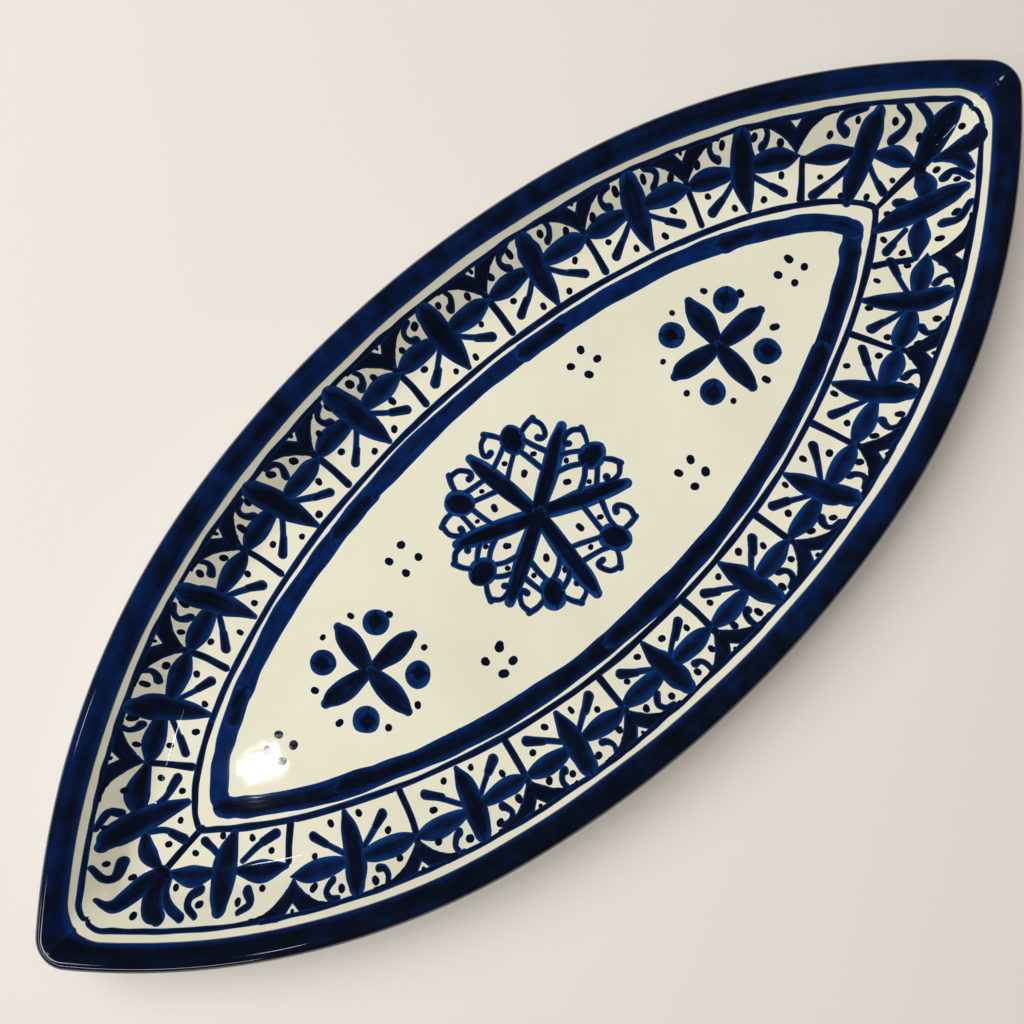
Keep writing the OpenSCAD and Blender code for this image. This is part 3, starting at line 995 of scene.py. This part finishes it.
def half_panel(brush, leaf, knot, scale, side):
    """The strokes on one side of a leaf, out to the next knot."""
    way = 1 if knot > leaf else -1
    span = abs(knot - leaf) / scale

    def at(x, inset):
        return leaf + way * x * scale, inset

    deep = line_inset(leaf, side)
    half = hand.uniform(2.65, 3.0)
    brush.leaf(at(0.6, knot_in), at(span + 0.9, knot_in), half, 0.55, way * hand.uniform(-0.5, 0.5),
               ink=hand.uniform(0.5, 0.85), rim=0.75)
    draw_arch(brush, knot, -way, min(span - 3.6, hand.uniform(12.5, 16)), scale)
    low = hand.uniform(11.2, 12.6)
    end = min(30.2, deep - 3.6)
    club = ((3.0, 22.8, 0.85), (7.4, (22.8 + end) / 2 + 0.2, 1.0), (low, end, 1.1))
    brush.stroke(*[(*at(x, b), w) for x, b, w in club], ink=0.45, rim=0.7)
    brush.stroke((*at(8.4, end - 2.6), 1.25), (*at(low + 0.4, end + 0.3), 1.55), ink=0.8, rim=0.6)
    hook = ((6.0, 12.0, 0.8), (8.5, 12.7, 0.85), (9.6, 14.3, 0.95), (8.9, 16.0, 1.05), (7.7, 17.0, 1.15))
    if hand.random() < 0.4:
        hook = ((8.8, 12.0, 0.8), (9.3, 13.8, 0.9), (8.4, 15.6, 1.0), (7.0, 16.3, 1.2))
    brush.stroke(*[(*at(x, b), w) for x, b, w in hook], ink=0.62, rim=0.6)
    for x, inset in ((5.0, 13.9), (13.3, 16.6), (12.4, 25.1), (4.9, deep - 3.0)):
        x, inset = x + hand.normal(0, 0.5), inset + hand.normal(0, 0.3)
        brush.dot(*at(x, inset), size=hand.uniform(1.0, 1.17))


# %% All panels but the four at the tips
def draw_leaf(brush, s, side, leans):
    """The long leaf across the border; leans is how far its foot lies past its head, in mm."""
    deep = line_inset(s, side)
    full = 1.0 if side > 0 else 0.88
    path = (
        (s - leans * 0.5, 13.9, 3.2 * full), (s - leans * 0.4, 16.2, 3.95 * full),
        (s - leans * 0.2, 18.8, 4.1 * full), (s, 23.5, 3.8 * full),
        (s + leans * 0.3, deep - 6, 2.75), (s + leans * 0.5, deep - 1.4, 1.1),
    )
    brush.stroke(*path, ink=hand.uniform(0.72, 0.95), rim=0.55, proud=thick)


def draw_divider(brush, knot, side):
    deep = line_inset(knot, side)
    stop = deep - (0.4 if side < 0 else 1.8)
    brush.stroke((knot, knot_in - 1.5, 1.1), (knot + 0.3, 26, 1.1), (knot, stop, 1.3), ink=0.75, rim=0.5)
    brush.dot(knot, 11.7, size=0.6)


def panel(name, node, leaves, k, side):
    """The panel about leaf k, with its divider at the right; the last divider is the tip panel's."""
    s = leaves[k]
    left, right = (leaves[k - 1] + s) / 2, (s + leaves[k + 1]) / 2
    radius = (shoulder_r if abs(s) > side_s / mm else side_r) / mm
    scale = radius / (radius - knot_in)
    brush = Brush(on_border(side))
    half_panel(brush, s, left, scale, side)
    half_panel(brush, s, right, scale, side)
    leans = 5.2 - 0.95 * k if side > 0 else 0.8 - 0.12 * k * k
    draw_leaf(brush, s, side, leans + hand.normal(0, 0.4))
    if k < 8:
        draw_divider(brush, right, side)
    paint_piece(name, brush, "cobalt_painting", node)


for k in range(1, 9):
    panel(f"far_panel_{k + 1}", f"border_far_{k + 1}", far_leaves, k, 1)
    panel(f"near_panel_{k + 1}", f"border_near_{k + 1}", near_leaves, k, -1)

# %% [markdown]
# ## The panels at the tips
# There the border narrows and turns, so the painter squeezed the last panel in: its leaf leans along the
# plate and one lens turns back to the knot on the axis. These four are drawn stroke by stroke on the plate,
# in millimetres from its middle.


# %% A panel drawn by hand
def hand_panel(name, node, side, leaf, lenses, clubs, commas, dots, knot, divider):
    """leaf and lenses are (x, y) paths, clubs and commas are paths too; knot is a place on the border."""
    brush = Brush()
    for path in lenses:
        brush.stroke(*[(*p, w) for p, w in zip(path, (0.9, 3.1, 0.9))], ink=hand.uniform(0.7, 0.95), rim=0.7)
    for path in clubs:
        brush.stroke(*[(*p, w) for p, w in zip(path, (0.9, 1.0, 1.25))], ink=0.5, rim=0.65)
        a, b = np.array(path[1]), np.array(path[2])
        brush.stroke((*(a + (b - a) * 0.35), 1.3), (*b, 1.55), ink=0.8, rim=0.6)
    for path in commas:
        widths = np.linspace(0.85, 1.4, len(path))
        brush.stroke(*[(*p, w) for p, w in zip(path, widths)], ink=0.65, rim=0.6)
    for x, y in dots:
        brush.dot(x, y)
    leaf = np.array(leaf, float)
    leaf[0] += (leaf[1] - leaf[0]) * 0.35
    widths = (1.9, 3.4, 3.6, 2.9, 1.2)
    brush.stroke(*[(*p, w) for p, w in zip(leaf, widths)], ink=0.85, rim=0.6, proud=thick)
    brush.stroke(*[(*p, w) for p, w in zip(divider, (1.0, 1.0, 1.2))], ink=0.8, rim=0.5)
    brush.place = on_border(side)
    draw_arch(brush, knot, math.copysign(1, knot), 13.5, 1.07)
    if knot < 0:
        brush.dot(knot, 11.7, size=0.6)
    paint_piece(name, brush, "cobalt_painting", node)


def middle_of(leaves, a, b):
    return (leaves[a] + leaves[b]) / 2


# %% Left tip
hand_panel(
    "far_panel_1", "border_far_1", 1,
    leaf=((-171.5, 13.8), (-166, 14.2), (-159, 12.8), (-151.3, 10.6), (-143.4, 7.4)),
    lenses=(((-157.8, 12.9), (-152.6, 19.4), (-144.1, 24.7)), ((-159.4, 9.4), (-162.9, 3.6), (-163.1, -2.3))),
    clubs=(((-153, 13.3), (-147.3, 13.2), (-141, 15.2)), ((-158.3, 8.5), (-154.1, 5), (-151.5, -0.3))),
    commas=(
        ((-166.8, 19.2), (-161.4, 20.7), (-159.4, 18.3)),
        ((-175.2, 11.3), (-175.6, 6.6), (-173.6, 4.6), (-169.4, 6.7)),
    ),
    dots=((-154.1, 22.8), (-165.1, 17.4), (-172.6, 9.2), (-171.1, 1.3), (-144.9, 18.6), (-142.3, 11),
          (-148.7, 4.5), (-156.3, 1.4)),
    knot=middle_of(far_leaves, 0, 1), divider=((-144, 24.3), (-139.8, 19.4), (-135.2, 14.6)),
)
hand_panel(
    "near_panel_1", "border_near_1", -1,
    leaf=((-155.3, -26.2), (-152.2, -21), (-147.6, -16), (-143, -12.8), (-138.3, -10)),
    lenses=(((-161.8, -5.6), (-156.8, -11), (-150, -15.4)), ((-145.8, -19), (-139.2, -24.2), (-132.4, -28.4))),
    clubs=(
        ((-142.2, -18.1), (-135.5, -17.8), (-128.6, -18.8)),
        ((-146.6, -12.3), (-146.5, -8.8), (-147.2, -5.8)),
    ),
    commas=(
        ((-161, -20.9), (-161.6, -17.4), (-160, -15.4), (-156.9, -16)),
        ((-150.2, -29), (-145.9, -29.5), (-145.7, -26)),
    ),
    dots=((-162.5, -10.4), (-158.6, -19.3), (-149.1, -27), (-141.5, -28.7), (-141.6, -8.1), (-151.7, -6.4),
          (-135.2, -14.8), (-133.1, -22)),
    knot=middle_of(near_leaves, 0, 1), divider=((-131.2, -27.9), (-127.6, -23.8), (-123.4, -20)),
)

# %% Right tip
hand_panel(
    "far_panel_10", "border_far_10", 1,
    leaf=((166.5, 19.8), (161.3, 17.3), (155.6, 14), (148.2, 10.3), (140.6, 6)),
    lenses=(((140.5, 26), (147.8, 20.8), (154.5, 16.2)), ((157.9, 11.9), (163, 5.8), (165.8, -0.2))),
    clubs=(((150.1, 14.1), (143.6, 14.4), (135.2, 15.5)), ((154.8, 10.3), (152.8, 5.4), (151.4, 0.4))),
    commas=(
        ((162.6, 23), (157, 25.8), (154.2, 25.2), (154.6, 22.2)),
        ((170.4, 16.2), (171.2, 12), (168.7, 10.2), (164.4, 11)),
    ),
    dots=((150.4, 25.2), (159, 22.2), (167.7, 13.7), (171, 5.5), (140.9, 18), (141.1, 9.2), (146.7, 3.1),
          (156.5, 1.3)),
    knot=middle_of(far_leaves, 8, 9), divider=((140.4, 26), (136, 21.6), (131.4, 17.2)),
)
hand_panel(
    "near_panel_10", "border_near_10", -1,
    leaf=((168.3, -16.9), (163.7, -14.5), (157.4, -12), (149.1, -9.1), (141.4, -6.8)),
    lenses=(((164.9, -1.4), (162.5, -6.8), (158.1, -10.8)), ((154.7, -13.8), (148.8, -17.8), (143.2, -22.4))),
    clubs=(((147.8, -13.3), (142.9, -13.6), (138.5, -14.3)), ((157.2, -9.7), (154.2, -7), (152.2, -5))),
    commas=(
        ((169.8, -15.5), (170.6, -12), (169.4, -9.7), (167.1, -9.5)),
        ((163.8, -20.9), (158.6, -22.3), (156, -20.2)),
    ),
    dots=((168.3, -5.9), (168.2, -13), (160, -20.5), (151.6, -22.8), (140.5, -10.9), (147.4, -5.5),
          (141.6, -17.9)),
    knot=middle_of(near_leaves, 8, 9), divider=((141.9, -21.4), (136.6, -17.7), (132.4, -15.0)),
)

# %% [markdown]
# ## The marks on the axis
# A divider runs out along the axis to the knot where the two halves meet. Past it, the painter filled the
# corner with forked strokes that leave small white gaps.

# %% The two axis marks
left = Brush()
left.stroke((-145, -1.8, 1.0), (-153.2, -2.9, 1.0), (-163.5, -3.6, 1.1), ink=0.85, rim=0.4)
left.stroke((-162.8, -3.9, 1.8), (-170, -2.6, 2.7), (-177.2, -2.2, 2.3), (-180, -0.2, 1.2), (-181, 3.2, 0.6),
            ink=0.85, rim=0.6)
left.stroke((-163.2, -4.9, 1.6), (-168.2, -6.6, 2.9), (-170.4, -10.4, 2.9), (-169.8, -14, 1.8),
            ink=0.92, rim=0.5)
left.stroke((-162.7, -6.2, 1.1), (-165.6, -9.3, 1.1), (-166.3, -13.1, 1.2), (-164.6, -18.6, 1.2),
            ink=0.6, rim=0.6)
left.dot(-163.3, -3.9, size=2.2)
left.dot(-175.4, -8.1, size=1.1)
paint_piece("left_axis_mark", left, "cobalt_painting", "tip_motif_left")

right = Brush()
right.stroke((146.4, -1.8, 0.8), (156.2, -1.1, 1.1), (164.9, -1.1, 1.4), ink=0.85, rim=0.4)
right.stroke((165.2, -1.2, 1.6), (170.6, 0.2, 3.0), (175.8, 2.4, 3.9), (180.6, 3.6, 3.0), (184, 3.6, 1.2),
             ink=0.92, rim=0.5)
right.stroke((175, 3.7, 1.4), (176, 8, 1.1), (175.2, 13, 1.0), ink=0.6, rim=0.6)
right.stroke((170.4, -3.3, 1.0), (175, -6.0, 2.5), (179.4, -7.4, 2.7), (182.4, -6, 1.4), ink=0.85, rim=0.5)
right.stroke((171.4, -4.2, 1.0), (173.4, -8.4, 1.7), (172.2, -12.8, 1.2), ink=0.6, rim=0.6)
right.dot(165.2, -1.3, size=2.1)
right.dot(180.6, -1.7, size=0.9)
paint_piece("right_axis_mark", right, "cobalt_painting", "tip_motif_right")

# %% [markdown]
# ## The medallion
# Six long spokes cross in the middle. Between each pair hangs a dark bud on two pairs of thin lines, with a
# scroll on either side. First come the blue outlines, then the dark hearts, in the order of the painting.

# %% Spokes
# Turns are in degrees from +X, other sizes in mm. No two gaps are alike, as in hand work.
spoke_half, heart_half = 2.95, 2.3
centre = np.array([-0.8, -0.7])
spoke_turns = (97.7, 32.5, -23, -96, -150.6, 157.6)
spoke_reach = (28.1, 29.4, 30.1, 30.9, 29.2, 27.5)
bud_turns = (66, 5, -59.5, -121.7, -176.6, 129)


def turned(middle, turn):
    """Places drawn about +X, turned by some degrees about a middle."""
    c, s = math.cos(math.radians(turn)), math.sin(math.radians(turn))
    return lambda p: np.array(middle) + np.stack([p[:, 0] * c - p[:, 1] * s, p[:, 0] * s + p[:, 1] * c], 1)


spokes = Brush()
for turn, reach in zip(spoke_turns, spoke_reach):
    spokes.place = turned(centre, turn)
    shape = ((0, 0.6), (0.2, 0.84), (0.5, 1), (0.8, 0.86), (1, 0.52))
    spokes.stroke(*[(reach * t, 0, spoke_half * w) for t, w in shape], ink=0.3, rim=0.9)
for turn, reach in zip(spoke_turns, spoke_reach):
    spokes.place = turned(centre, turn)
    shape = ((0, 1.0), (0.25, 0.9), (0.5, 1), (0.8, 0.8), (0.96, 0.45))
    spokes.stroke(*[(reach * t, 0.3, heart_half * w) for t, w in shape], ink=0.95, rim=0.4, proud=0.06)
paint_piece("medallion_star", spokes, "cobalt_painting", "medallion_spokes")

# %% Buds, lines and scrolls
buds, lines, dots = Brush(), Brush(shake=0.16), Brush()
for turn in bud_turns:
    for brush in (buds, lines, dots):
        brush.place = turned(centre, turn)
    for m in (1, -1):
        nearest = min((m * (spoke - turn)) % 360 for spoke in spoke_turns)
        to_spoke = math.radians(nearest)

        def on_spoke(reach, short):
            return reach * math.cos(to_spoke - short), m * reach * math.sin(to_spoke - short)

        first, second = on_spoke(14.6, 0.13), on_spoke(20.6, 0.11)
        lines.stroke((21.8, m * 0.6, 0.86), (18.2, m * 3.0, 0.9), (*first, 0.92), ink=0.35, rim=0.8)
        lines.stroke((24.4, m * 3.4, 0.86), (21.8, m * 5.6, 0.9), (*second, 0.92), ink=0.35, rim=0.8)
        lines.stroke((27.2, m * 3.4, 0.84), (28.8, m * 5.6, 0.88), (30, m * 8.4, 0.98), ink=0.4, rim=0.8)
        lines.stroke((29.6, m * 8.2, 0.92), (27.2, m * 10.3, 0.88), (24, m * 10.4, 0.9), (22.9, m * 9.2, 1.0),
                     (23.6, m * 8.1, 1.1), ink=0.5, rim=0.7)
        dots.dot(18.9, m * 4.9, size=0.85)
    buds.blob(25.5, 0, 5.2, 4.5, ink=0.35, rim=0.8)
    buds.blob(25.5, 0.2, 4.5, 3.8, ink=1.0, rim=0.25, proud=0.065)
    dots.stroke((13.6, 0.2, 0.9), (14.3, -0.1, 0.95), ink=0.9, rim=0.3)
paint_piece("medallion_bud_shapes", buds, "cobalt_painting", "medallion_buds")
paint_piece("medallion_lines", lines, "cobalt_painting", "medallion_tracery")
paint_piece("medallion_spots", dots, "cobalt_painting", "medallion_dots")

# %% [markdown]
# ## Rosettes and dots
# On each side of the medallion is a rosette: four petals, four round buds on the diagonals and a ring of
# eight dots. Groups of four dots fill the gaps. The brush tip lands with a slight smear, so no dot is round.


# %% Rosettes
petal_long, petal_half = 17.4, 3.35
ring_of_dots = 18.6


def rosette(name, node, x, y, tilt):
    brush = Brush()
    for turn in (-3, 82, 172, 265):
        brush.place = turned((x, y), turn + tilt + hand.normal(0, 1.5))
        shape = ((0, 0.45), (0.25, 0.8), (0.55, 1), (0.82, 0.84), (1, 0.42))
        brush.stroke(*[(petal_long * t, 0, petal_half * w) for t, w in shape], ink=0.8, rim=0.45, proud=0.045)
    for turn in (37.7, 124, 219.5, -50.6):
        brush.place = turned((x, y), turn + tilt)
        brush.blob(15.3, 0, 4.3, 4.4, ink=0.7, rim=0.45)
        brush.blob(15.6, 0.3, 3.3, 3.4, ink=1.0, rim=0.5, proud=0.06)
    brush.place = turned((x, y), tilt)
    for turn in (100.6, 62.9, 21.9, -24.8, -80.5, -116.2, -166, 153.3):
        angle = math.radians(turn + hand.normal(0, 2))
        x_dot, y_dot = ring_of_dots * math.cos(angle), ring_of_dots * math.sin(angle)
        brush.dot(x_dot, y_dot, size=hand.uniform(0.95, 1.15))
    paint_piece(name, brush, "cobalt_painting", node)


rosette("rosette_of_right", "rosette_right", 78.6, 0.1, 0)
rosette("rosette_of_left", "rosette_left", -73.3, -1.3, 4)

# %% Groups of four dots
from_middle = 3.1
for k in range(1, 7):
    low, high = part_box(f"dot_cluster_{k}")
    x, y = (low.x + high.x) / 2 / mm, (low.y + high.y) / 2 / mm
    tilt = 22 if x > 0 and y > 10 else 15 if abs(x) > 100 else 10.5
    brush = Brush(turned((x, y), tilt))
    for i, j in ((-1, -1), (-1, 1), (1, -1), (1, 1)):
        dx, dy = from_middle * i + hand.normal(0, 0.25), from_middle * j + hand.normal(0, 0.25)
        brush.dot(dx, dy, size=hand.uniform(1.2, 1.38))
    paint_piece(f"four_dots_{k}", brush, "cobalt_painting", f"dot_cluster_{k}")

# %% [markdown]
# ## Riding on the body and hiding the replaced solids
# Each piece rides on the plate's only body and stands for the plain solid of the same layer, which is hidden.

# %% Riding, slots and replaced solids
pieces += [
    (clay_core, "bare_clay", ("clay_body",)),
    (foot, "bare_clay", ("foot_ring",)),
    (glaze_dish, "white_glaze", ("glaze_inside",)),
    (glaze_back, "white_glaze", ("glaze_outside",)),
    (glaze_base, "white_glaze", ("glaze_under_floor",)),
    (rim, "cobalt_band", ("rim_band",)),
]
for piece, slot, nodes in pieces:
    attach(piece, "root")
    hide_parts(*nodes)
triangles = sum(len(piece.data.polygons) * 2 for piece, _, _ in pieces)
print(len(pieces), "pieces, about", triangles, "triangles")

# %% [markdown]
# ## Floor, light and camera
# The plate lies on a plain warm white surface. Two large soft lights, a key from the far side and a ceiling,
# do the lighting and are kept out of the reflections, because a shiny glaze would turn milky under them.
# Three small windows on the left are there for the gloss alone: one patch on the floor and thin streaks
# along the valleys. The camera looks down from close by, turned so that the plate runs corner to corner.


# %% The floor
def stage_floor(reach=3.0):
    mesh = bpy.data.meshes.new("floor")
    corners = [(-reach, -reach, 0), (reach, -reach, 0), (reach, reach, 0), (-reach, reach, 0)]
    mesh.from_pydata(corners, [], [(0, 1, 2, 3)])
    floor = bpy.data.objects.new("floor", mesh)
    bpy.context.scene.collection.objects.link(floor)
    material, tree, shader = new_material("floor_paper")
    shader.inputs["Base Color"].default_value = (0.80, 0.775, 0.74, 1)
    shader.inputs["Roughness"].default_value = 0.8
    floor.data.materials.append(material)


stage_floor()


# %% Lights
def area_light(name, place, size, power, colour, mirrored):
    """A lamp that looks at the plate's middle; mirrored says whether it shows as a reflection in the glaze."""
    data = bpy.data.lights.new(name, "AREA")
    data.shape = "RECTANGLE"
    data.size, data.size_y = size
    data.energy = power
    data.color = colour
    lamp = bpy.data.objects.new(name, data)
    lamp.location = place
    lamp.rotation_euler = (-Vector(place)).to_track_quat("-Z", "Y").to_euler()
    lamp.visible_glossy = mirrored
    bpy.context.scene.collection.objects.link(lamp)
    print("lamp", name, power, "W")


white = (1.0, 1.0, 1.0)
area_light("key", (-0.24, 0.58, 1.1), (1.0, 1.0), 9.5, (1.0, 0.985, 0.99), False)
area_light("ceiling", (-0.1, 0.2, 1.6), (2.4, 2.4), 17.5, (1.0, 0.925, 0.80), False)
area_light("pane", (-0.575, 0.164, 1.5), (0.045, 0.06), 0.24, white, True)
area_light("window", (-1.4, -0.1, 0.7), (1.7, 0.08), 4.0, (0.95, 0.97, 1.0), True)
area_light("high_window", (-0.95, 0.15, 1.1), (0.22, 0.28), 1.5, white, True)

# %% The room
world = bpy.data.worlds.new("room")
world.use_nodes = True
room = world.node_tree.nodes["Background"]
room.inputs["Color"].default_value = (0.9, 0.95, 1.0, 1)
room.inputs["Strength"].default_value = 0.05
bpy.context.scene.world = world
bpy.context.scene.view_settings.view_transform = "Standard"

# %% Camera
camera_data = bpy.data.cameras.new("camera")
camera_data.sensor_width = 36
camera_data.lens = 36.9
camera = bpy.data.objects.new("camera", camera_data)
bpy.context.scene.collection.objects.link(camera)
camera_place = (-0.0159, -0.0366, 0.3404)
roll, tilt, nod = [math.radians(a) for a in (-42.42, 3.68, 6.45)]
camera.matrix_world = (
    Matrix.Translation(camera_place)
    @ Matrix.Rotation(roll, 4, "Z") @ Matrix.Rotation(tilt, 4, "Y") @ Matrix.Rotation(nod, 4, "X")
)
bpy.context.scene.camera = camera
print("camera", round(camera_place[2] / mm), "mm over the table")
